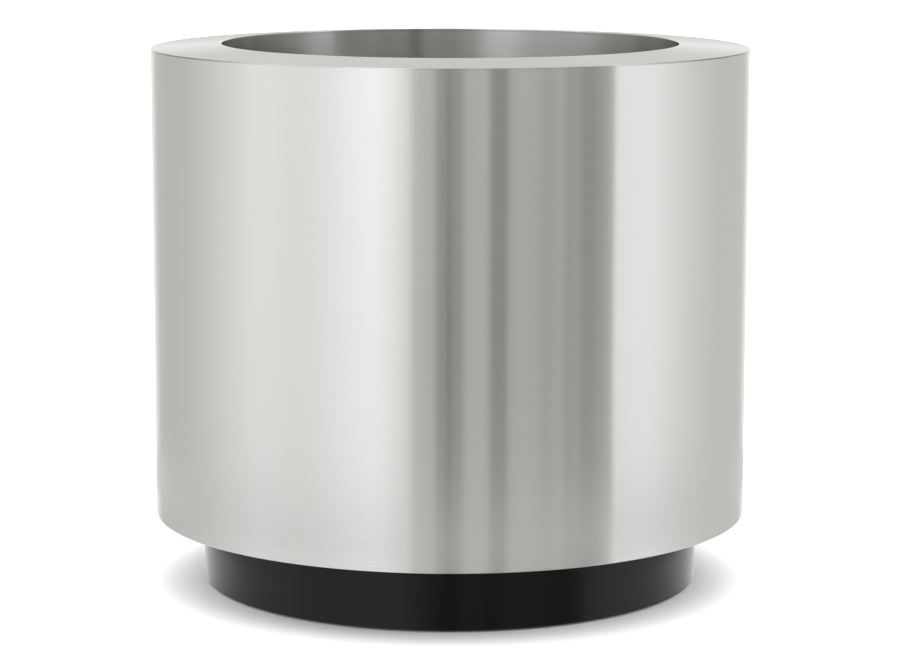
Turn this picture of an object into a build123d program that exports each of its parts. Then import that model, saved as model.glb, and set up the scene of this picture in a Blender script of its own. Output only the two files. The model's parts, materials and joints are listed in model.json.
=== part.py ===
from build123d import *
import os

# Champagne bucket stand: a brushed steel drum on a black recessed plinth, with a bucket
# whose wide flange drops into the mouth of the stand and lifts straight out.
# Millimetres, +Z up, origin at the centre of the underside, on the surface it stands on.

# Outside
drum_r = 130.0
opening_r = 99.5
total_h = 236.0
drum_bottom_z = 30.0
rim_fall = 1.8
plinth_r = 109.0

# Sheet and plate thicknesses
shell_t = 1.2
rim_t = 1.4
well_t = 1.0
ledge_t = 1.4
floor_t = 1.5
plinth_t = 2.0
plinth_top_t = 2.5
cover_t = 1.5

# Clearances between pieces, and the break of sharp edges
weld_gap = 0.1
lift_gap = 0.3
hole_gap = 0.3
grip_gap = 0.1
thread_gap = 0.05
edge_break = 0.2
tip_chamfer = 0.6
head_chamfer = 0.5

# Levels of the plinth, from the floor up
foot_h = 4.0
band_bottom_z = 0.6
cover_top_z = foot_h + cover_t
base_ledge_top_z = cover_top_z + cover_t
base_ledge_inner_r = 90.0
base_ledge_leg_h = 10.0
floor_recess = 3.0
floor_bottom_z = drum_bottom_z + floor_recess
plinth_gasket_t = 1.0
plinth_top_z = floor_bottom_z - plinth_gasket_t
plinth_inner_r = plinth_r - plinth_t
plinth_fit_r = plinth_inner_r - weld_gap
plinth_gasket_outer_r = plinth_fit_r - 1.3
plinth_gasket_inner_r = 70.0
plinth_top_hole_r = 60.0

# Fasteners: M6 studs and nuts hold the plinth, M4 screws hold the base cover and the feet
stud_r = 3.0
stud_l = 13.0
stud_count = 6
stud_circle_r = 88.0
washer_r = 6.0
washer_t = 1.2
m6_nut_flats = 10.0
m6_nut_h = 5.0
screw_r = 2.0
thread_proud = 0.8
m4_head_r = 4.0
m4_nut_flats = 7.0
m4_nut_h = 3.2
cover_screw_count = 6
cover_screw_circle_r = 96.0
cover_screw_angle = 30
cover_head_h = 2.2
foot_count = 4
foot_circle_r = 84.0
foot_angle = 45
foot_r = 10.0
foot_head_h = 1.6
foot_head_z = 0.6
socket_flats = 2.5
socket_depth_share = 0.6

# Inside of the drum
shell_inner_r = drum_r - shell_t
shell_fit_r = shell_inner_r - weld_gap
floor_top_z = floor_bottom_z + floor_t
floor_skirt_h = 10.5
pad_top_z = floor_bottom_z + floor_skirt_h
insulation_t = 12.0
insulation_top_z = 188.0
insulation_split = 0.4
ledge_inner_r = 108.0
ledge_top_z = 231.0
ledge_leg_h = 18.0

# The rim is a shallow cone: highest at the opening, lowest at the drum's edge.
rim_slope = rim_fall / (drum_r - opening_r)


def rim_top(radius):
    """Height of the rim's top face."""
    return total_h - rim_slope * (radius - opening_r)


def rim_underside(radius):
    """Height of the rim's underside."""
    return rim_top(radius) - rim_t


# Mitred joint at the drum's top corner: the rim's edge and the shell's edge are bevelled at 45 degrees.
rim_land = 0.25
rim_bevel_w = (rim_t - rim_land) / (1 + rim_slope)
mitre_drop = lift_gap * 2**0.5
shell_top_z = rim_top(drum_r) - rim_land - mitre_drop

# Bucket
bucket_outer_r = opening_r + well_t
bucket_air_gap = 1.5
bucket_bottom_z = pad_top_z + bucket_air_gap
knuckle_r = 14.0
wall_bottom_z = bucket_bottom_z + knuckle_r
panel_r = 66.0
panel_rise = 1.5
panel_blend = 4.0
locating_gap = 0.7
locating_ring_r = ledge_inner_r - locating_gap
locating_ring_t = 1.4
locating_ring_h = 10.0

# Seal under the rim, on the ledge
seat_inner_r = 118.0
seat_outer_r = 124.0
seat_top_z = rim_underside(seat_outer_r) - lift_gap

os.makedirs("parts", exist_ok=True)


def flats_to_corner(flats):
    """Corner radius of a hexagon with a width across its flats."""
    return flats / 3**0.5


# ---------------------------------------------------------------- stand: drum

# Rolled sheet, with its top edge bevelled inwards to meet the rim
with BuildPart() as outer_shell:
    with BuildSketch(Plane.XZ):
        with BuildLine():
            Polyline(
                (shell_inner_r, drum_bottom_z),
                (drum_r, drum_bottom_z),
                (drum_r, shell_top_z),
                (shell_inner_r, shell_top_z - shell_t),
                close=True,
            )
        make_face()
    revolve(axis=Axis.Z)
    lower_rims = edges().group_by(Axis.Z)[0]
    chamfer(lower_rims, length=edge_break)
outer_shell.part.label = "outer_shell"
export_step(outer_shell.part, "parts/outer_shell.step")

# Angle ring welded inside the shell's mouth, which carries the bucket's flange
with BuildPart() as top_ledge:
    with BuildSketch(Plane.XZ):
        with BuildLine():
            Polyline(
                (ledge_inner_r, ledge_top_z),
                (shell_fit_r, ledge_top_z),
                (shell_fit_r, ledge_top_z - ledge_leg_h),
                (shell_fit_r - ledge_t, ledge_top_z - ledge_leg_h),
                (shell_fit_r - ledge_t, ledge_top_z - ledge_t),
                (ledge_inner_r, ledge_top_z - ledge_t),
                close=True,
            )
        make_face()
    revolve(axis=Axis.Z)
top_ledge.part.label = "top_ledge"
export_step(top_ledge.part, "parts/top_ledge.step")

# Soft ring that the flange comes down on
with BuildPart() as seat_gasket:
    with BuildSketch(Plane.XY.offset(ledge_top_z)):
        Circle(seat_outer_r)
        Circle(seat_inner_r, mode=Mode.SUBTRACT)
    extrude(amount=seat_top_z - ledge_top_z)
seat_gasket.part.label = "seat_gasket"
export_step(seat_gasket.part, "parts/seat_gasket.step")

# Pan with an upturned skirt, welded in the bottom of the shell
with BuildPart() as drum_floor:
    with BuildSketch(Plane.XY.offset(floor_bottom_z)):
        Circle(shell_fit_r)
    extrude(amount=floor_skirt_h)
    with BuildSketch(Plane.XY.offset(floor_top_z)):
        Circle(shell_fit_r - floor_t)
    extrude(amount=floor_skirt_h, mode=Mode.SUBTRACT)
drum_floor.part.label = "drum_floor"
export_step(drum_floor.part, "parts/drum_floor.step")

# Foam disc lying in the pan
with BuildPart() as insulation_pad:
    with BuildSketch(Plane.XY.offset(floor_top_z)):
        Circle(shell_fit_r - floor_t - weld_gap)
    extrude(amount=pad_top_z - floor_top_z)
insulation_pad.part.label = "insulation_pad"
export_step(insulation_pad.part, "parts/insulation_pad.step")

# Foam lining of the shell, in two curved halves
for side, name in ((-1, "insulation_half_left"), (1, "insulation_half_right")):
    with BuildPart() as insulation_half:
        with BuildSketch(Plane.XY.offset(pad_top_z)):
            Circle(shell_fit_r)
            Circle(shell_fit_r - insulation_t, mode=Mode.SUBTRACT)
            with Locations((side * (drum_r + insulation_split) / 2, 0)):
                Rectangle(drum_r, 2 * drum_r, mode=Mode.INTERSECT)
        extrude(amount=insulation_top_z - pad_top_z)
    insulation_half.part.label = name
    export_step(insulation_half.part, f"parts/{name}.step")

# ---------------------------------------------------------------- stand: plinth

# Studs welded under the drum's floor
with BuildPart() as plinth_studs:
    with BuildSketch(Plane.XY.offset(floor_bottom_z)):
        with PolarLocations(stud_circle_r, stud_count):
            Circle(stud_r)
    extrude(amount=-stud_l)
    chamfer(edges().group_by(Axis.Z)[0], length=tip_chamfer)
plinth_studs.part.label = "plinth_studs"
export_step(plinth_studs.part, "parts/plinth_studs.step")

# Rubber ring between the plinth and the drum
with BuildPart() as plinth_gasket:
    with BuildSketch(Plane.XY.offset(plinth_top_z)):
        Circle(plinth_gasket_outer_r)
        Circle(plinth_gasket_inner_r, mode=Mode.SUBTRACT)
        with PolarLocations(stud_circle_r, stud_count):
            Circle(stud_r + hole_gap, mode=Mode.SUBTRACT)
    extrude(amount=plinth_gasket_t)
plinth_gasket.part.label = "plinth_gasket"
export_step(plinth_gasket.part, "parts/plinth_gasket.step")

# Rolled black band that shows under the drum
with BuildPart() as plinth_band:
    with BuildSketch(Plane.XY.offset(band_bottom_z)):
        Circle(plinth_r)
        Circle(plinth_inner_r, mode=Mode.SUBTRACT)
    extrude(amount=plinth_top_z - band_bottom_z)
    chamfer(edges().group_by(Axis.Z)[0], length=edge_break)
plinth_band.part.label = "plinth_band"
export_step(plinth_band.part, "parts/plinth_band.step")

# Annular plate welded in the top of the band, bolted to the drum
with BuildPart() as plinth_top_plate:
    with BuildSketch(Plane.XY.offset(plinth_top_z)):
        Circle(plinth_fit_r)
        Circle(plinth_top_hole_r, mode=Mode.SUBTRACT)
        with PolarLocations(stud_circle_r, stud_count):
            Circle(stud_r + hole_gap, mode=Mode.SUBTRACT)
    extrude(amount=-plinth_top_t)
plinth_top_plate.part.label = "plinth_top_plate"
export_step(plinth_top_plate.part, "parts/plinth_top_plate.step")

washer_top_z = plinth_top_z - plinth_top_t
with BuildPart() as stud_washers:
    with BuildSketch(Plane.XY.offset(washer_top_z)):
        with PolarLocations(stud_circle_r, stud_count):
            Circle(washer_r)
            Circle(stud_r + hole_gap, mode=Mode.SUBTRACT)
    extrude(amount=-washer_t)
stud_washers.part.label = "stud_washers"
export_step(stud_washers.part, "parts/stud_washers.step")

with BuildPart() as stud_nuts:
    with BuildSketch(Plane.XY.offset(washer_top_z - washer_t)):
        with PolarLocations(stud_circle_r, stud_count):
            RegularPolygon(flats_to_corner(m6_nut_flats), 6)
            Circle(stud_r + thread_gap, mode=Mode.SUBTRACT)
    extrude(amount=-m6_nut_h)
stud_nuts.part.label = "stud_nuts"
export_step(stud_nuts.part, "parts/stud_nuts.step")

# Angle ring welded inside the band, which takes the base cover's screws
with BuildPart() as base_ledge:
    with BuildSketch(Plane.XZ):
        with BuildLine():
            Polyline(
                (base_ledge_inner_r, cover_top_z),
                (plinth_fit_r, cover_top_z),
                (plinth_fit_r, cover_top_z + base_ledge_leg_h),
                (plinth_fit_r - cover_t, cover_top_z + base_ledge_leg_h),
                (plinth_fit_r - cover_t, base_ledge_top_z),
                (base_ledge_inner_r, base_ledge_top_z),
                close=True,
            )
        make_face()
    revolve(axis=Axis.Z)
    with BuildSketch(Plane.XY.offset(cover_top_z)):
        with PolarLocations(cover_screw_circle_r, cover_screw_count, start_angle=cover_screw_angle):
            Circle(screw_r + hole_gap)
    extrude(amount=cover_t, mode=Mode.SUBTRACT)
base_ledge.part.label = "base_ledge"
export_step(base_ledge.part, "parts/base_ledge.step")

# Black plate that closes the plinth from below
with BuildPart() as base_cover:
    with BuildSketch(Plane.XY.offset(foot_h)):
        Circle(plinth_fit_r)
        with PolarLocations(cover_screw_circle_r, cover_screw_count, start_angle=cover_screw_angle):
            Circle(screw_r + hole_gap, mode=Mode.SUBTRACT)
        with PolarLocations(foot_circle_r, foot_count, start_angle=foot_angle):
            Circle(screw_r + hole_gap, mode=Mode.SUBTRACT)
    extrude(amount=cover_t)
base_cover.part.label = "base_cover"
export_step(base_cover.part, "parts/base_cover.step")


def make_m4_screws(name, circle_r, count, start_angle, head_top_z, head_h, tip_z):
    """Round-headed socket screws on a circle, heads down."""
    with BuildPart() as screws:
        with BuildSketch(Plane.XY.offset(head_top_z)):
            with PolarLocations(circle_r, count, start_angle=start_angle):
                Circle(m4_head_r)
        extrude(amount=-head_h)
        chamfer(edges().group_by(Axis.Z)[0], length=head_chamfer)
        with BuildSketch(Plane.XY.offset(head_top_z)):
            with PolarLocations(circle_r, count, start_angle=start_angle):
                Circle(screw_r)
        extrude(amount=tip_z - head_top_z)
        with BuildSketch(Plane.XY.offset(head_top_z - head_h)):
            with PolarLocations(circle_r, count, start_angle=start_angle):
                RegularPolygon(flats_to_corner(socket_flats), 6)
        extrude(amount=head_h * socket_depth_share, mode=Mode.SUBTRACT)
    screws.part.label = name
    export_step(screws.part, f"parts/{name}.step")


def make_m4_nuts(name, circle_r, count, start_angle, seat_z):
    """Hexagon nuts on a circle, standing on a plate."""
    with BuildPart() as nuts:
        with BuildSketch(Plane.XY.offset(seat_z)):
            with PolarLocations(circle_r, count, start_angle=start_angle):
                RegularPolygon(flats_to_corner(m4_nut_flats), 6)
                Circle(screw_r + thread_gap, mode=Mode.SUBTRACT)
        extrude(amount=m4_nut_h)
    nuts.part.label = name
    export_step(nuts.part, f"parts/{name}.step")


cover_screw_tip_z = base_ledge_top_z + m4_nut_h + thread_proud
make_m4_screws(
    "base_cover_screws",
    cover_screw_circle_r,
    cover_screw_count,
    cover_screw_angle,
    foot_h,
    cover_head_h,
    cover_screw_tip_z,
)
make_m4_nuts(
    "base_cover_nuts",
    cover_screw_circle_r,
    cover_screw_count,
    cover_screw_angle,
    base_ledge_top_z,
)

# Rubber feet, each held through its recess by a screw
foot_head_top_z = foot_head_z + foot_head_h
with BuildPart() as rubber_feet:
    with BuildSketch():
        with PolarLocations(foot_circle_r, foot_count, start_angle=foot_angle):
            Circle(foot_r)
    extrude(amount=foot_h)
    chamfer(edges().group_by(Axis.Z)[0], length=tip_chamfer)
    with BuildSketch():
        with PolarLocations(foot_circle_r, foot_count, start_angle=foot_angle):
            Circle(m4_head_r + hole_gap)
    extrude(amount=foot_head_top_z, mode=Mode.SUBTRACT)
    with BuildSketch():
        with PolarLocations(foot_circle_r, foot_count, start_angle=foot_angle):
            Circle(screw_r + grip_gap)
    extrude(amount=foot_h, mode=Mode.SUBTRACT)
rubber_feet.part.label = "rubber_feet"
export_step(rubber_feet.part, "parts/rubber_feet.step")

foot_screw_tip_z = cover_top_z + m4_nut_h + thread_proud
make_m4_screws(
    "foot_screws",
    foot_circle_r,
    foot_count,
    foot_angle,
    foot_head_top_z,
    foot_head_h,
    foot_screw_tip_z,
)
make_m4_nuts("foot_nuts", foot_circle_r, foot_count, foot_angle, cover_top_z)

# ---------------------------------------------------------------- bucket

# Wide flange: the rim of the drum, bevelled under its outer edge to meet the shell
with BuildPart() as bucket_rim:
    with BuildSketch(Plane.XZ):
        with BuildLine():
            Polyline(
                (opening_r, rim_underside(opening_r)),
                (drum_r - rim_bevel_w, rim_underside(drum_r - rim_bevel_w)),
                (drum_r, rim_top(drum_r) - rim_land),
                (drum_r, rim_top(drum_r)),
                (opening_r, total_h),
                close=True,
            )
        make_face()
        opening_corner = vertices().sort_by(Axis.Y)[-1]
        outer_corner = vertices().group_by(Axis.X)[-1].sort_by(Axis.Y)[-1]
        fillet([opening_corner, outer_corner], radius=edge_break)
    revolve(axis=Axis.Z)
bucket_rim.part.label = "bucket_rim"
export_step(bucket_rim.part, "parts/bucket_rim.step")

# Straight wall, welded under the flange
with BuildPart() as bucket_wall:
    with BuildSketch(Plane.XZ):
        with BuildLine():
            Polyline(
                (opening_r, wall_bottom_z),
                (bucket_outer_r, wall_bottom_z),
                (bucket_outer_r, rim_underside(bucket_outer_r)),
                (opening_r, rim_underside(opening_r)),
                close=True,
            )
        make_face()
    revolve(axis=Axis.Z)
bucket_wall.part.label = "bucket_wall"
export_step(bucket_wall.part, "parts/bucket_wall.step")

# Pressed bottom: a rounded knuckle into the wall, and a centre panel raised off the standing ring
knuckle_start_r = bucket_outer_r - knuckle_r
bucket_floor_z = bucket_bottom_z + well_t
with BuildPart() as bucket_floor:
    with BuildSketch(Plane.XZ):
        with BuildLine():
            Polyline(
                (0, bucket_floor_z + panel_rise),
                (0, bucket_bottom_z + panel_rise),
                (panel_r, bucket_bottom_z + panel_rise),
                (panel_r + panel_blend, bucket_bottom_z),
                (knuckle_start_r, bucket_bottom_z),
            )
            RadiusArc(
                (knuckle_start_r, bucket_bottom_z), (bucket_outer_r, wall_bottom_z), -knuckle_r
            )
            Line((bucket_outer_r, wall_bottom_z), (opening_r, wall_bottom_z))
            RadiusArc(
                (opening_r, wall_bottom_z), (knuckle_start_r, bucket_floor_z), knuckle_r - well_t
            )
            Polyline(
                (knuckle_start_r, bucket_floor_z),
                (panel_r + panel_blend, bucket_floor_z),
                (panel_r, bucket_floor_z + panel_rise),
                (0, bucket_floor_z + panel_rise),
            )
        make_face()
    revolve(axis=Axis.Z)
bucket_floor.part.label = "bucket_floor"
export_step(bucket_floor.part, "parts/bucket_floor.step")

# Ring under the flange that centres the bucket inside the ledge
locating_inner_r = locating_ring_r - locating_ring_t
with BuildPart() as locating_ring:
    with BuildSketch(Plane.XZ):
        with BuildLine():
            Polyline(
                (locating_inner_r, rim_underside(locating_inner_r)),
                (locating_inner_r, rim_underside(locating_inner_r) - locating_ring_h),
                (locating_ring_r, rim_underside(locating_inner_r) - locating_ring_h),
                (locating_ring_r, rim_underside(locating_ring_r)),
                close=True,
            )
        make_face()
    revolve(axis=Axis.Z)
locating_ring.part.label = "locating_ring"
export_step(locating_ring.part, "parts/locating_ring.step")
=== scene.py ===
import bpy
import json
import math
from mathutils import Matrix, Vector


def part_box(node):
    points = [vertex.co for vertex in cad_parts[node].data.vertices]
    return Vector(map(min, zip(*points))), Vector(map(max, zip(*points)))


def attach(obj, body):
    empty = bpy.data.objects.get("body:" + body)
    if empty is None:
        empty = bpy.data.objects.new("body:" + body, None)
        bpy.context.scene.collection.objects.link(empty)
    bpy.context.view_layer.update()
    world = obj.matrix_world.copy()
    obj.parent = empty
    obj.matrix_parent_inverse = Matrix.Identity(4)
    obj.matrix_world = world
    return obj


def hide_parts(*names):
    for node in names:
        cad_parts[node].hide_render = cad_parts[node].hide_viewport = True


# A brushed steel drum with a lift-out bucket, on a black recessed plinth.
# Metres, +Z up, in the CAD frame.

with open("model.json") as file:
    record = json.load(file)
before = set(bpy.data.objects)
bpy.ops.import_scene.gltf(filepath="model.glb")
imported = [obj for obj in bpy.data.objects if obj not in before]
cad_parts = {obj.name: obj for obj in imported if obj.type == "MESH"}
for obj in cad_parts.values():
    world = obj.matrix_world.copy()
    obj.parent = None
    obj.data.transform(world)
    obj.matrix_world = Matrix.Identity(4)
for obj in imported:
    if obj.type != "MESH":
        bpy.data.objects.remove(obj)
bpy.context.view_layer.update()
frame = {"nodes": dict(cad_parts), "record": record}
nodes = frame["nodes"]

MM = 0.001

# ------------------------------------------------------------------ sizes, from the CAD nodes
shell_low, shell_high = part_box("outer_shell")
_, rim_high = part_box("bucket_rim")
wall_low, wall_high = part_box("bucket_wall")
floor_low, floor_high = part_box("bucket_floor")
band_low, band_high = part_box("plinth_band")

DRUM_R = shell_high.y
TOP_Z = rim_high.z
BAND_R = band_high.y
WALL_OUTER_R = wall_high.y

# Sheet thicknesses, as in the CAD
SHELL_T = 1.2 * MM
RIM_T = 1.4 * MM
WELL_T = 1.0 * MM
BAND_T = 2.0 * MM
OPENING_R = WALL_OUTER_R - WELL_T

# The rim falls from the opening to the drum's edge, where RIM_LAND of its thickness is upright.
# RIM_JOINT is the dark line between it and the shell.
RIM_FALL = 1.8 * MM
RIM_SLOPE = RIM_FALL / (DRUM_R - OPENING_R)
RIM_LAND = 0.42 * MM
RIM_JOINT = 0.03 * MM

# The ground weld at the back of the shell and the plinth
BACK = math.pi / 2
SEAM_HALF_WIDTH = 0.9 * MM
SEAM_DEPTH = 0.06 * MM

# The bucket's pressed bottom: rounded corner, raised panel, and the weld bead to the wall
KNUCKLE_R = 14 * MM
PANEL_R = 66 * MM
PANEL_BLEND = 4 * MM
PANEL_RISE = 1.5 * MM
BEAD = 0.15 * MM
BEAD_HALF_H = 1.4 * MM
BEAD_ANGLE = 8
AXIS_R = 0.05 * MM

# ------------------------------------------------------------------ node helpers


class Graph:
    """Short calls for building a node tree."""

    def __init__(self, tree):
        self.tree = tree
        tree.nodes.clear()

    def node(self, kind, **settings):
        made = self.tree.nodes.new(kind)
        for key, value in settings.items():
            setattr(made, key, value)
        return made

    def link(self, source, target):
        self.tree.links.new(source, target)

    def put(self, socket, value):
        """Link a socket, or set a plain value."""
        if isinstance(value, bpy.types.NodeSocket):
            self.link(value, socket)
        else:
            socket.default_value = value

    def math(self, operation, *values, clamp=False):
        made = self.node("ShaderNodeMath", operation=operation, use_clamp=clamp)
        for socket, value in zip(made.inputs, values):
            self.put(socket, value)
        return made.outputs[0]

    def length(self, a, b):
        """Length of the hypotenuse over two sides."""
        squares = self.math("ADD", self.math("MULTIPLY", a, a), self.math("MULTIPLY", b, b))
        return self.math("SQRT", squares)

    def xyz(self, vector):
        made = self.node("ShaderNodeSeparateXYZ")
        self.link(vector, made.inputs[0])
        return made.outputs[0], made.outputs[1], made.outputs[2]

    def vector(self, x, y, z):
        made = self.node("ShaderNodeCombineXYZ")
        for socket, value in zip(made.inputs, (x, y, z)):
            self.put(socket, value)
        return made.outputs[0]

    def noise(self, vector, scale=1.0, detail=2.0, rough=0.5):
        made = self.node("ShaderNodeTexNoise")
        self.link(vector, made.inputs["Vector"])
        made.inputs["Scale"].default_value = scale
        made.inputs["Detail"].default_value = detail
        made.inputs["Roughness"].default_value = rough
        return made.outputs[0]

    def remap(self, value, low, high, to_low, to_high, clamp=True):
        made = self.node("ShaderNodeMapRange", clamp=clamp)
        for socket, item in zip(made.inputs, (value, low, high, to_low, to_high)):
            self.put(socket, item)
        return made.outputs[0]

    def mix_numbers(self, factor, a, b):
        made = self.node("ShaderNodeMix", data_type="FLOAT")
        self.put(made.inputs[0], factor)
        self.put(made.inputs[2], a)
        self.put(made.inputs[3], b)
        return made.outputs[0]

    def scale(self, vector, factor):
        made = self.node("ShaderNodeVectorMath", operation="SCALE")
        self.put(made.inputs[0], vector)
        self.put(made.inputs["Scale"], factor)
        return made.outputs[0]

    def mix(self, factor, a, b):
        made = self.node("ShaderNodeMix", data_type="RGBA")
        self.put(made.inputs[0], factor)
        self.put(made.inputs[6], a)
        self.put(made.inputs[7], b)
        return made.outputs[2]


# Noise nodes stay near their middle, so textures are stretched from this range
NOISE_LOW, NOISE_HIGH = 0.3, 0.7


def new_material(name):
    material = bpy.data.materials.new(name)
    material.use_nodes = True
    graph = Graph(material.node_tree)
    shader = graph.node("ShaderNodeBsdfPrincipled")
    out = graph.node("ShaderNodeOutputMaterial")
    graph.link(shader.outputs[0], out.inputs[0])
    return material, graph, shader


def tone(colour, gain):
    """A lighter or darker version of a colour, with its alpha."""
    return (*[min(1.0, c * gain) for c in colour], 1)


def round_coordinates(graph):
    """Object coordinates, and the same wrapped round the axis: cosine, sine and radius."""
    coords = graph.node("ShaderNodeTexCoord").outputs["Object"]
    x, y, z = graph.xyz(coords)
    radius = graph.length(x, y)
    cosine = graph.math("DIVIDE", x, radius)
    sine = graph.math("DIVIDE", y, radius)
    return coords, x, y, z, radius, cosine, sine


# Brush strokes in noise cells: per metre across the grain, and per radian along it
FINE_STROKES, FINE_TURNS = 3200.0, 5.0
COARSE_STROKES, COARSE_TURNS = 420.0, 2.0
FINE_SHARE = 0.85
ROUGHNESS_SPREAD = 0.015


def brushed_metal(name, colour, roughness, grain_mm=0.006, contrast=0.02, painted_edge_light=(), seam=False):
    """Steel brushed round its axis. The grain's strokes follow the circumference, so highlights
    stretch across them: up and down on a wall, in and out on a flat face. Each entry of the edge
    list is a ring of painted light along an edge, given as (radius, height, reach, gain): a gain
    above 1 paints a highlight into the colour there, one below 1 paints shade. seam marks a ground
    weld at the back."""
    material, graph, shader = new_material(name)
    coords, x, y, z, radius, cosine, sine = round_coordinates(graph)
    across = graph.math("ADD", z, radius)

    def along(turns, per_metre):
        """Coordinates stretched along the strokes."""
        return graph.vector(
            graph.math("MULTIPLY", cosine, turns),
            graph.math("MULTIPLY", sine, turns),
            graph.math("MULTIPLY", across, per_metre),
        )

    strokes = graph.noise(along(FINE_TURNS, FINE_STROKES), detail=3.0, rough=0.6)
    bands = graph.noise(along(COARSE_TURNS, COARSE_STROKES), detail=2.0)
    cloud = graph.noise(coords, scale=9.0, detail=2.0)

    grain = graph.math(
        "ADD",
        graph.math("MULTIPLY", strokes, FINE_SHARE),
        graph.math("MULTIPLY", bands, 1 - FINE_SHARE),
    )
    shade = graph.remap(grain, NOISE_LOW, NOISE_HIGH, 0.0, 1.0)
    surface_colour = graph.mix(shade, tone(colour, 1 - contrast), tone(colour, 1 + contrast))
    low, high = roughness - ROUGHNESS_SPREAD, roughness + ROUGHNESS_SPREAD
    rough_grain = graph.remap(grain, NOISE_LOW, NOISE_HIGH, low, high)
    rough_cloud = graph.remap(cloud, NOISE_LOW, NOISE_HIGH, -0.01, 0.01)
    rough = graph.math("ADD", rough_grain, rough_cloud)
    # Painted light along each edge: the colour is mixed towards a lighter copy for a painted
    # highlight, or towards a darker copy for painted shade, and the roughness there drops a little.
    for edge_r, edge_z, reach, gain in painted_edge_light:
        aside = graph.math("SUBTRACT", radius, edge_r)
        above = graph.math("MULTIPLY", graph.math("SUBTRACT", z, edge_z), 3.0)
        uneven = graph.remap(cloud, NOISE_LOW, NOISE_HIGH, 0.85, 1.15)
        distance = graph.math("MULTIPLY", graph.length(aside, above), uneven)
        painted_edge_mask = graph.remap(distance, reach * 0.5, reach, 1.0, 0.0)
        surface_colour = graph.mix(painted_edge_mask, surface_colour, tone(colour, gain))
        rough = graph.mix_numbers(painted_edge_mask, rough, roughness * 0.8)
    if seam:
        aside = graph.math("ABSOLUTE", x)
        weld_line = graph.remap(aside, SEAM_HALF_WIDTH, SEAM_HALF_WIDTH * 2, 1.0, 0.0)
        at_back = graph.math("MULTIPLY", weld_line, graph.math("GREATER_THAN", y, 0.0))
        blotches = graph.remap(graph.noise(coords, scale=700.0, detail=3.0), 0.35, 0.65, 0.3, 0.8)
        weld = graph.math("MULTIPLY", at_back, blotches)
        surface_colour = graph.mix(weld, surface_colour, tone(colour, 0.82))
        rough = graph.mix_numbers(weld, rough, roughness * 1.6)
    graph.link(surface_colour, shader.inputs["Base Color"])
    graph.link(rough, shader.inputs["Roughness"])

    bump = graph.node("ShaderNodeBump")
    bump.inputs["Strength"].default_value = 0.25
    bump.inputs["Distance"].default_value = grain_mm * MM
    graph.link(strokes, bump.inputs["Height"])
    graph.link(bump.outputs[0], shader.inputs["Normal"])

    tangent = graph.node("ShaderNodeTangent", direction_type="RADIAL", axis="Z")
    graph.link(tangent.outputs[0], shader.inputs["Tangent"])
    shader.inputs["Metallic"].default_value = 1.0
    shader.inputs["Anisotropic"].default_value = 1.0
    shader.inputs["Anisotropic Rotation"].default_value = 0.25
    return material


def mottled(
    name,
    colour,
    roughness,
    metallic=0.0,
    spread=0.15,
    scale=60.0,
    bump_mm=0.05,
    specular=0.5,
    sheen=0.0,
):
    """A painted, rubber or plain metal surface with a fine uneven texture."""
    material, graph, shader = new_material(name)
    coords = graph.node("ShaderNodeTexCoord").outputs["Object"]
    broad = graph.noise(coords, scale=scale * 0.2, detail=3.0)
    fine = graph.noise(coords, scale=scale * 18.0, detail=3.0, rough=0.6)
    shade = graph.remap(broad, NOISE_LOW, NOISE_HIGH, 0.0, 1.0)
    surface_colour = graph.mix(shade, tone(colour, 1 - spread), tone(colour, 1 + spread))
    graph.link(surface_colour, shader.inputs["Base Color"])
    rough = graph.remap(fine, NOISE_LOW, NOISE_HIGH, roughness - 0.04, roughness + 0.04)
    graph.link(rough, shader.inputs["Roughness"])
    bump = graph.node("ShaderNodeBump")
    bump.inputs["Strength"].default_value = 0.4
    bump.inputs["Distance"].default_value = bump_mm * MM
    graph.link(fine, bump.inputs["Height"])
    graph.link(bump.outputs[0], shader.inputs["Normal"])
    shader.inputs["Metallic"].default_value = metallic
    shader.inputs["Specular IOR Level"].default_value = specular
    shader.inputs["Sheen Weight"].default_value = sheen
    shader.inputs["Sheen Roughness"].default_value = 0.2
    return material


STEEL = (0.70, 0.687, 0.677)
RIM_STEEL = (0.708, 0.698, 0.699)
WELL_STEEL = (0.60, 0.592, 0.58)
# Painted light on the rim: a painted highlight along the opening's top edge, painted shade lower
# down the opening's inner face, and a fainter painted highlight along the rim's outer top edge.
rim_painted_edge_light = [
    (OPENING_R, TOP_Z, 1.6 * MM, 1.14),
    (OPENING_R, TOP_Z - 0.8 * RIM_T, 2.4 * MM, 0.8),
    (DRUM_R, TOP_Z - RIM_FALL, 1.0 * MM, 1.06),
]
shell_steel = brushed_metal("brushed_shell", STEEL, 0.16, contrast=0.014, seam=True)
rim_steel_with_painted_edge_light = brushed_metal("brushed_rim", RIM_STEEL, 0.22, painted_edge_light=rim_painted_edge_light)
well_steel = brushed_metal("brushed_well", WELL_STEEL, 0.22, grain_mm=0.003, contrast=0.01)
plain_steel = mottled("plain_steel", (0.45, 0.45, 0.44), 0.42, metallic=1.0)
fastener_steel = mottled(
    "fastener_steel", (0.55, 0.55, 0.54), 0.28, metallic=1.0, scale=200.0, bump_mm=0.01
)
black_paint = mottled(
    "black_satin_paint",
    (0.0005, 0.0005, 0.0006),
    0.20,
    scale=120.0,
    bump_mm=0.003,
    specular=0.25,
    sheen=0.05,
)
black_rubber = mottled("black_rubber", (0.016, 0.016, 0.016), 0.72)
black_foam = mottled(
    "black_foam",
    (0.022, 0.022, 0.023),
    0.95,
    spread=0.4,
    scale=45.0,
    bump_mm=0.6,
    specular=0.2,
)

# ------------------------------------------------------------------ lathe
SHARP_ANGLE = 40
NORMAL_WEIGHT = 80


def arc(centre, radius, start, end, steps):
    """Points of an arc in the (radius, height) plane, angles in degrees."""
    points = []
    for i in range(steps + 1):
        a = math.radians(start + (end - start) * i / steps)
        points.append((centre[0] + radius * math.cos(a), centre[1] + radius * math.sin(a)))
    return points


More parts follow.
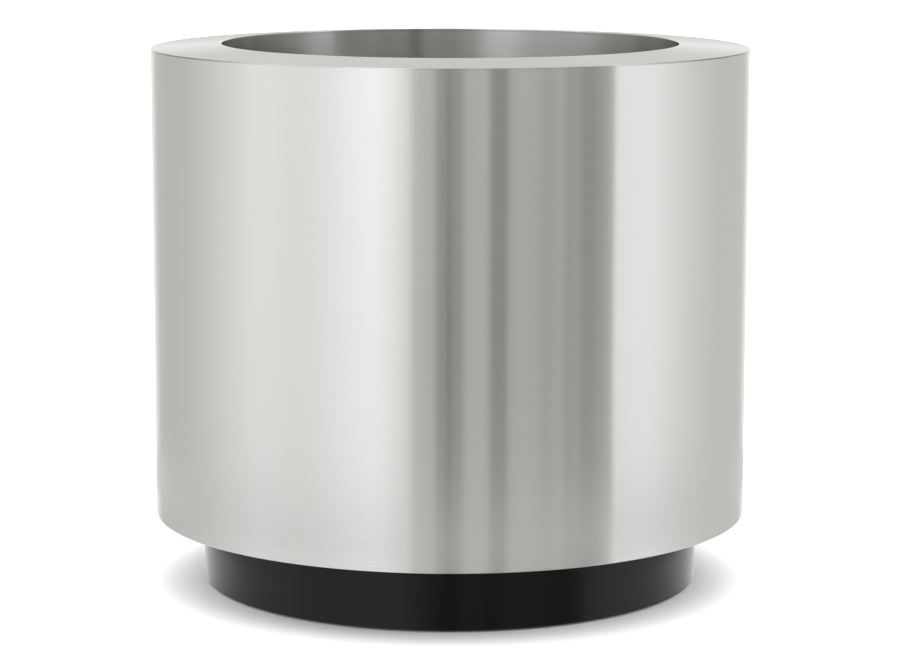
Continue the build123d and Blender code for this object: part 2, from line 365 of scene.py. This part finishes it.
def round_corner(previous, corner, following, radius, steps=4):
    """Points of a small round in place of a profile's corner."""
    p, c, f = Vector(previous), Vector(corner), Vector(following)
    to_p, to_f = (p - c).normalized(), (f - c).normalized()
    half = to_p.angle(to_f) / 2
    setback = radius / math.tan(half)
    start, end = c + to_p * setback, c + to_f * setback
    centre = c + (to_p + to_f).normalized() * (radius / math.sin(half))
    a, b = start - centre, end - centre
    corner_turn = a.angle_signed(b)
    points = []
    for i in range(steps + 1):
        t = -corner_turn * i / steps
        points.append(
            (
                centre.x + a.x * math.cos(t) - a.y * math.sin(t),
                centre.y + a.x * math.sin(t) + a.y * math.cos(t),
            )
        )
    return points


def rounded_profile(corners):
    """Closed profile from (radius, height, rounding) corners."""
    points = []
    for i, (r, z, rounding) in enumerate(corners):
        before = corners[i - 1][:2]
        after = corners[(i + 1) % len(corners)][:2]
        if rounding:
            points.extend(round_corner(before, (r, z), after, rounding))
        else:
            points.append((r, z))
    return points


def lathe(name, profile, body, material, segments=512, shift=None):
    """Turn a closed profile of (radius, height) points round the Z axis into a mesh that rides
    on a body. shift(angle, radius, height) moves a point's radius a little, for a seam."""
    vertices, faces = [], []
    rings = len(profile)
    for s in range(segments):
        a = 2 * math.pi * s / segments
        for r, z in profile:
            if shift:
                r = r + shift(a, r, z)
            vertices.append((r * math.cos(a), r * math.sin(a), z))
    for s in range(segments):
        here, there = s * rings, (s + 1) % segments * rings
        for i in range(rings):
            j = (i + 1) % rings
            faces.append((here + i, there + i, there + j, here + j))
    mesh = bpy.data.meshes.new(name)
    mesh.from_pydata(vertices, [], faces)
    mesh.materials.append(material)
    for polygon in mesh.polygons:
        polygon.use_smooth = True
    mesh.set_sharp_from_angle(angle=math.radians(SHARP_ANGLE))
    mesh.update()
    piece = bpy.data.objects.new(name, mesh)
    bpy.context.scene.collection.objects.link(piece)
    weighted = piece.modifiers.new("even_normals", "WEIGHTED_NORMAL")
    weighted.keep_sharp = True
    weighted.weight = NORMAL_WEIGHT
    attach(piece, body)
    return piece


# ------------------------------------------------------------------ shell, rim and bucket


def rim_top(r):
    """Height of the rim's upper face at a radius."""
    return TOP_Z - RIM_SLOPE * (r - OPENING_R)


shell_top = rim_top(DRUM_R) - RIM_LAND - RIM_JOINT
shell_profile = rounded_profile(
    [
        (DRUM_R - SHELL_T, shell_low.z, 0.15 * MM),
        (DRUM_R, shell_low.z, 0.3 * MM),
        (DRUM_R, shell_top, 0.05 * MM),
        (DRUM_R - SHELL_T, shell_top - SHELL_T, 0.1 * MM),
    ]
)


def back_seam(angle, r, z):
    """A shallow ground groove where a rolled sheet's ends meet, straight at the back."""
    aside = abs(angle - BACK) * r / SEAM_HALF_WIDTH
    return -SEAM_DEPTH * math.exp(-aside * aside)


shell = lathe(
    "shell_skin",
    shell_profile,
    "stand",
    shell_steel,
    segments=1440,
    shift=back_seam,
)
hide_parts("outer_shell")

# The rim's lower face ends in a bevel that meets the shell's mitred top
bevel = DRUM_R - (RIM_T - RIM_LAND) / (1 + RIM_SLOPE)
rim_profile = rounded_profile(
    [
        (OPENING_R, rim_top(OPENING_R) - RIM_T, 0.0),
        (bevel, rim_top(bevel) - RIM_T, 0.1 * MM),
        (DRUM_R, rim_top(DRUM_R) - RIM_LAND, 0.03 * MM),
        (DRUM_R, rim_top(DRUM_R), 0.38 * MM),
        (OPENING_R, TOP_Z, 0.3 * MM),
    ]
)
rim = lathe("rim_flange", rim_profile, "bucket", rim_steel_with_painted_edge_light, segments=720)
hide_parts("bucket_rim")

# The bucket's wall and pressed bottom meet at a planished weld, with half of its bead on each
wall_profile = [
    (OPENING_R - BEAD, wall_low.z),
    (WALL_OUTER_R, wall_low.z),
    (WALL_OUTER_R, wall_high.z - RIM_SLOPE * WELL_T),
    (OPENING_R, wall_high.z),
    (OPENING_R, wall_low.z + BEAD_HALF_H),
    (OPENING_R - BEAD * 0.7, wall_low.z + BEAD_HALF_H * 0.5),
]
wall = lathe("bucket_wall_skin", wall_profile, "bucket", well_steel)
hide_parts("bucket_wall")

knuckle_centre = (WALL_OUTER_R - KNUCKLE_R, floor_high.z)
pan_z = floor_low.z + WELL_T
pressing = [
    (AXIS_R, floor_low.z + PANEL_RISE),
    (PANEL_R, floor_low.z + PANEL_RISE),
    (PANEL_R + PANEL_BLEND, floor_low.z),
    *arc(knuckle_centre, KNUCKLE_R, -90, 0, 18),
    (OPENING_R - BEAD, floor_high.z),
    (OPENING_R - BEAD * 0.7, floor_high.z - BEAD_HALF_H * 0.5),
    *arc(knuckle_centre, KNUCKLE_R - WELL_T, -BEAD_ANGLE, -90, 18),
    (PANEL_R + PANEL_BLEND, pan_z),
    (PANEL_R + PANEL_BLEND * 0.75, pan_z + PANEL_RISE * 0.1),
    (PANEL_R + PANEL_BLEND * 0.25, pan_z + PANEL_RISE * 0.9),
    (PANEL_R, pan_z + PANEL_RISE),
    (AXIS_R, pan_z + PANEL_RISE),
]
pan = lathe("bucket_floor_skin", pressing, "bucket", well_steel)
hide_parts("bucket_floor")

band_profile = rounded_profile(
    [
        (BAND_R - BAND_T, band_low.z, 0.2 * MM),
        (BAND_R, band_low.z, 0.5 * MM),
        (BAND_R, band_high.z, 0.3 * MM),
        (BAND_R - BAND_T, band_high.z, 0.2 * MM),
    ]
)
band = lathe(
    "plinth_skin",
    band_profile,
    "stand",
    black_paint,
    segments=1080,
    shift=back_seam,
)
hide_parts("plinth_band")

# ------------------------------------------------------------------ what the lifted bucket uncovers
# The ledge is an angle ring, welded to the shell along its outer edge
ledge_low, ledge_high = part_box("top_ledge")
LEDGE_R = ledge_high.y
LEDGE_T = 1.4 * MM
LEDGE_INNER_R = 108 * MM
WELD_H = 0.9 * MM
WELD_RIPPLE = 0.08 * MM
WELD_RIPPLES = 180
ledge_profile = rounded_profile(
    [
        (LEDGE_R - LEDGE_T, ledge_low.z, 0.3 * MM),
        (LEDGE_R, ledge_low.z, 0.3 * MM),
        (LEDGE_R, ledge_high.z + WELD_H, 0.0),
        (LEDGE_R - WELD_H * 0.45, ledge_high.z + WELD_H * 0.5, 0.0),
        (LEDGE_R - WELD_H * 1.2, ledge_high.z, 0.0),
        (LEDGE_INNER_R, ledge_high.z, 0.4 * MM),
        (LEDGE_INNER_R, ledge_high.z - LEDGE_T, 0.4 * MM),
        (LEDGE_R - LEDGE_T, ledge_high.z - LEDGE_T, 0.4 * MM),
    ]
)


def weld_ripple(angle, r, z):
    """The ripple of the weld bead along the ledge's outer edge."""
    on_bead = ledge_high.z + WELD_H * 0.1 < z < ledge_high.z + WELD_H * 0.9
    return -WELD_RIPPLE * (1 + math.sin(angle * WELD_RIPPLES)) if on_bead else 0.0


ledge = lathe(
    "top_ledge_skin",
    ledge_profile,
    "stand",
    plain_steel,
    segments=1440,
    shift=weld_ripple,
)
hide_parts("top_ledge")

# The soft ring has two sealing lips with a groove between them
seat_low, seat_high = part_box("seat_gasket")
SEAT_OUTER_R = seat_high.y
SEAT_INNER_R = 118 * MM
SEAT_SIDE = 0.4 * MM
GROOVE_DEPTH = 0.9 * MM
lip = (SEAT_OUTER_R - SEAT_INNER_R) / 4
seat_profile = rounded_profile(
    [
        (SEAT_INNER_R, seat_low.z, 0.1 * MM),
        (SEAT_OUTER_R, seat_low.z, 0.1 * MM),
        (SEAT_OUTER_R, seat_high.z - SEAT_SIDE, 0.3 * MM),
        (SEAT_OUTER_R - lip * 0.7, seat_high.z, 0.4 * MM),
        (SEAT_OUTER_R - lip * 1.6, seat_high.z - GROOVE_DEPTH, 0.3 * MM),
        (SEAT_INNER_R + lip * 1.6, seat_high.z - GROOVE_DEPTH, 0.3 * MM),
        (SEAT_INNER_R + lip * 0.7, seat_high.z, 0.4 * MM),
        (SEAT_INNER_R, seat_high.z - SEAT_SIDE, 0.3 * MM),
    ]
)
seat = lathe("seat_gasket_skin", seat_profile, "stand", black_rubber)
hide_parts("seat_gasket")

# The locating ring's lower edge is rounded, so that it leads itself into the ledge
locator_low, locator_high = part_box("locating_ring")
LOCATOR_R = locator_high.y
LOCATOR_T = 1.4 * MM
locator_profile = rounded_profile(
    [
        (LOCATOR_R - LOCATOR_T, locator_low.z, 0.4 * MM),
        (LOCATOR_R, locator_low.z, 0.7 * MM),
        (LOCATOR_R, locator_high.z - RIM_SLOPE * LOCATOR_T, 0.0),
        (LOCATOR_R - LOCATOR_T, locator_high.z, 0.0),
    ]
)
locator = lathe("locating_ring_skin", locator_profile, "bucket", plain_steel)
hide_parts("locating_ring")

# ------------------------------------------------------------------ materials of the CAD nodes
cad_materials = {
    "plain_steel": plain_steel,
    "fastener_steel": fastener_steel,
    "black_paint": black_paint,
    "black_rubber": black_rubber,
    "black_foam": black_foam,
    "brushed_shell": shell_steel,
    "brushed_rim": rim_steel_with_painted_edge_light,
    "brushed_well": well_steel,
}
for subpart in frame["record"]["subparts"]:
    node = nodes[subpart["node"]]
    node.data.materials.clear()
    node.data.materials.append(cad_materials[subpart["material_slot"]])

# ------------------------------------------------------------------ floor, room and camera
floor_material, _, floor_shader = new_material("pale_floor")
floor_shader.inputs["Base Color"].default_value = (0.86, 0.86, 0.86, 1)
floor_shader.inputs["Roughness"].default_value = 0.9
floor_shader.inputs["Specular IOR Level"].default_value = 0.0
FLOOR_HALF = 30.0
floor_signs = [(-1, -1), (1, -1), (1, 1), (-1, 1)]
floor_corners = [(x * FLOOR_HALF, y * FLOOR_HALF, 0) for x, y in floor_signs]
floor_mesh = bpy.data.meshes.new("floor")
floor_mesh.from_pydata(floor_corners, [], [(0, 1, 2, 3)])
floor_mesh.materials.append(floor_material)
floor = bpy.data.objects.new("floor", floor_mesh)
bpy.context.scene.collection.objects.link(floor)
floor.visible_glossy = False

# Pale cards just under the floor, which only glossy surfaces see, for the lit floor
CARD_Z = -1 * MM


def floor_card(name, inner_r, outer_r, half_angle, fade, level, steps=96):
    """A ring, or a part of one that reaches half_angle degrees either side of the back. It glows
    evenly, and its two ends grow clear over the last degrees."""
    points = []
    for i in range(steps + 1):
        a = math.radians(90 + half_angle * (2 * i / steps - 1))
        points.extend((r * math.cos(a), r * math.sin(a), CARD_Z) for r in (inner_r, outer_r))
    faces = [(2 * i, 2 * i + 1, 2 * i + 3, 2 * i + 2) for i in range(steps)]
    card_mesh = bpy.data.meshes.new(name)
    card_mesh.from_pydata(points, [], faces)
    card_material = bpy.data.materials.new(name)
    card_material.use_nodes = True
    graph = Graph(card_material.node_tree)
    glow = graph.node("ShaderNodeEmission")
    glow.inputs[0].default_value = (1.0, 1.0, 1.0, 1)
    glow.inputs[1].default_value = level
    surface = glow
    if fade:
        x, y, _ = graph.xyz(graph.node("ShaderNodeTexCoord").outputs["Object"])
        off_back = graph.math("ABSOLUTE", graph.math("ARCTAN2", x, y))
        full, none = math.radians(half_angle - fade), math.radians(half_angle)
        surface = graph.node("ShaderNodeMixShader")
        graph.link(graph.remap(off_back, full, none, 1.0, 0.0), surface.inputs[0])
        graph.link(graph.node("ShaderNodeBsdfTransparent").outputs[0], surface.inputs[1])
        graph.link(glow.outputs[0], surface.inputs[2])
    out = graph.node("ShaderNodeOutputMaterial")
    graph.link(surface.outputs[0], out.inputs[0])
    card_material.cycles.emission_sampling = "NONE"
    card_mesh.materials.append(card_material)
    card = bpy.data.objects.new(name, card_mesh)
    bpy.context.scene.collection.objects.link(card)
    card.visible_camera = False
    card.visible_diffuse = False
    card.visible_shadow = False


# The wide one lightens the lower part of the drum, and the near one the sides of the plinth
floor_card("ring_card", 0.25, 0.35, half_angle=180, fade=0, level=0.72)
floor_card("back_card", 0.110, 0.165, half_angle=130, fade=35, level=1.2)

# The room as the steel sees it: brightness by compass bearing in degrees, 0 towards the camera's
# side, positive to the right. Soft panels left and right, with a darker gap between them. The
# levels were first read off the bands in the photo's steel, then adjusted by hand over renders.
ROOM_LEFT = [
    (-180, 0.87),
    (-170, 0.87),
    (-163, 0.93),
    (-158, 0.78),
    (-152, 0.64),
    (-138, 0.64),
    (-120, 0.7),
    (-107, 0.8),
    (-93, 0.925),
    (-80, 1.02),
    (-72, 1.01),
    (-62, 0.97),
    (-54, 0.99),
    (-40, 1.095),
    (-29, 1.14),
    (-24, 1.075),
    (-20, 0.975),
    (-16, 0.87),
    (-13.2, 0.635),
    (-9, 0.585),
    (0, 0.54),
]
ROOM_RIGHT = [
    (0, 0.54),
    (12.2, 0.56),
    (14.1, 0.53),
    (15.6, 0.335),
    (20.6, 0.315),
    (22.2, 0.51),
    (28, 0.55),
    (33, 0.515),
    (36.5, 0.455),
    (42, 0.51),
    (45, 0.4),
    (48.5, 0.45),
    (51.5, 0.36),
    (54, 0.355),
    (58, 0.41),
    (61, 0.465),
    (63.5, 0.55),
    (65.2, 1.03),
    (70, 1.05),
    (80, 1.11),
    (86, 1.07),
    (93, 1),
    (103, 0.885),
    (113, 0.8),
    (127, 0.71),
    (145, 0.68),
    (153, 0.67),
    (158, 0.77),
    (163, 0.93),
    (170, 0.87),
    (180, 0.87),
]
ROOM_PEAK = 1.5

# How much brighter or dimmer the room is a little above the horizon, by bearing, adjusted
# until the far inner wall agreed with the photo
LIFT_LEFT = [
    (-180, 1),
    (-163, 1),
    (-150, 0.13),
    (-122, 0.23),
    (-104, 0.49),
    (-89, 1.15),
    (-80, 1.6),
    (-70, 1.65),
    (-52, 1.45),
    (-45, 1.55),
    (-36, 2),
    (-30, 2.25),
    (-20, 2.2),
    (-10, 1.65),
    (0, 1.28),
]
LIFT_RIGHT = [
    (0, 1.28),
    (10, 1.48),
    (16, 1.62),
    (22, 1.35),
    (30, 1.45),
    (38, 1.5),
    (43, 1.95),
    (48, 1.55),
    (63, 1.55),
    (75, 1.32),
    (82, 0.95),
    (89, 0.66),
    (104, 0.43),
    (122, 0.16),
    (148, 0.13),
    (163, 1),
    (180, 1),
]
LIFT_PEAK = 2.4

world = bpy.data.worlds.new("studio")
bpy.context.scene.world = world
world.use_nodes = True
room = Graph(world.node_tree)
direction = room.node("ShaderNodeTexCoord").outputs["Generated"]
dx, dy, dz = room.xyz(direction)
bearing = room.math("ARCTAN2", dx, room.math("MULTIPLY", dy, -1.0))


def half_room(stops, peak):
    """Levels by bearing, as shares of the peak, on a ramp from the first stop to the last."""
    first, last = stops[0][0], stops[-1][0]
    ramp = room.node("ShaderNodeValToRGB")
    ramp.color_ramp.interpolation = "LINEAR"
    elements = ramp.color_ramp.elements
    while len(elements) > 1:
        elements.remove(elements[-1])
    elements[0].position = 0.0
    for i, (degrees, level) in enumerate(stops):
        share = level / peak
        element = elements[0] if i == 0 else elements.new((degrees - first) / (last - first))
        element.color = (share, share, share, 1)
    along_ramp = room.remap(bearing, math.radians(first), math.radians(last), 0.0, 1.0)
    room.link(along_ramp, ramp.inputs[0])
    return ramp.outputs[0]


def by_bearing(left, right, peak):
    """Levels all round, from the stops of the two halves."""
    to_the_right = room.math("GREATER_THAN", bearing, 0.0)
    both_sides = room.mix(to_the_right, half_room(left, peak), half_room(right, peak))
    return room.math("MULTIPLY", both_sides, peak)


walls = by_bearing(ROOM_LEFT, ROOM_RIGHT, ROOM_PEAK)
elevation = room.math("ARCSINE", dz)
degrees_off = room.math("MULTIPLY", bearing, 180 / math.pi)

# The camera and its stand: a dim strip straight ahead, up to the height of the lens, with a
# narrow darker post in it
STAND_DARKNESS = 0.39
POST_DARKNESS = 0.60
POST_BEARING = -0.5
stand_left = room.remap(degrees_off, -6.4, -4.4, 0.0, 1.0)
stand_right = room.remap(degrees_off, 3.4, 6.4, 1.0, 0.0)
stand_width = room.math("MINIMUM", stand_left, stand_right)
stand_height = room.remap(elevation, math.radians(0), math.radians(4), 1.0, 0.0)
from_post = room.math("ABSOLUTE", room.math("ADD", degrees_off, -POST_BEARING))
stand_depth = room.remap(from_post, 0.2, 1.5, POST_DARKNESS, STAND_DARKNESS)
stand_reach = room.math("MULTIPLY", stand_width, stand_height)
stand_shade = room.math("MULTIPLY", stand_reach, stand_depth)
walls = room.math("MULTIPLY", walls, room.math("SUBTRACT", 1.0, stand_shade))

# The lift sets in just above the horizon, and higher up the walls give way to the ceiling
CEILING = 0.62
LIFT_STARTS, LIFT_FULL = math.radians(2), math.radians(12)
CEILING_STARTS, CEILING_FULL = math.radians(28), math.radians(50)
lift = by_bearing(LIFT_LEFT, LIFT_RIGHT, LIFT_PEAK)
lift_here = room.remap(elevation, LIFT_STARTS, LIFT_FULL, 1.0, lift)
lifted = room.math("MULTIPLY", walls, lift_here)
ceiling_share = room.remap(elevation, CEILING_STARTS, CEILING_FULL, 0.0, 1.0)
level = room.mix_numbers(ceiling_share, lifted, CEILING)

# Dim parts of the room are a little warmer, and the camera sees plain white
WHITE = (1.0, 1.0, 1.0, 1)
WARM = (1.0, 1.0, 0.915, 1)
light_tint = room.mix(room.remap(level, 0.35, 1.1, 0.0, 1.0), WARM, WHITE)
light_path = room.node("ShaderNodeLightPath")
seen = room.mix(light_path.outputs["Is Camera Ray"], room.scale(light_tint, level), WHITE)
background = room.node("ShaderNodeBackground")
room.link(seen, background.inputs[0])
world_out = room.node("ShaderNodeOutputWorld")
room.link(background.outputs[0], world_out.inputs[0])
world.cycles.sampling_method = "MANUAL"
world.cycles.sample_map_resolution = 512

# A soft dome that lights the floor without showing in the steel, leaning in from the back
dome_data = bpy.data.lights.new("soft_dome", "SUN")
dome_data.angle = math.radians(170)
dome_data.energy = 5.7
dome = bpy.data.objects.new("soft_dome", dome_data)
bpy.context.scene.collection.objects.link(dome)
dome.rotation_euler = (math.radians(-47), math.radians(15), 0.0)
dome.visible_glossy = False

# The camera was fitted to the outlines in the photo: distances in drum radii, angles in degrees
CAMERA_AWAY = 10.219
CAMERA_ABOVE = 0.6607
CAMERA_DIP = 9.104
CAMERA_ROLL = -0.076
camera_data = bpy.data.cameras.new("camera")
camera = bpy.data.objects.new("camera", camera_data)
bpy.context.scene.collection.objects.link(camera)
bpy.context.scene.camera = camera
camera.location = (0.0, -CAMERA_AWAY * DRUM_R, TOP_Z + CAMERA_ABOVE * DRUM_R)
camera.rotation_euler = (math.radians(90 - CAMERA_DIP), math.radians(CAMERA_ROLL), 0.0)
camera_data.sensor_width = 36.0
camera_data.lens = 121.73
camera_data.shift_x = -0.0007
camera_data.clip_start = 0.01
camera_data.clip_end = 100.0
bpy.context.scene.view_settings.view_transform = "Standard"
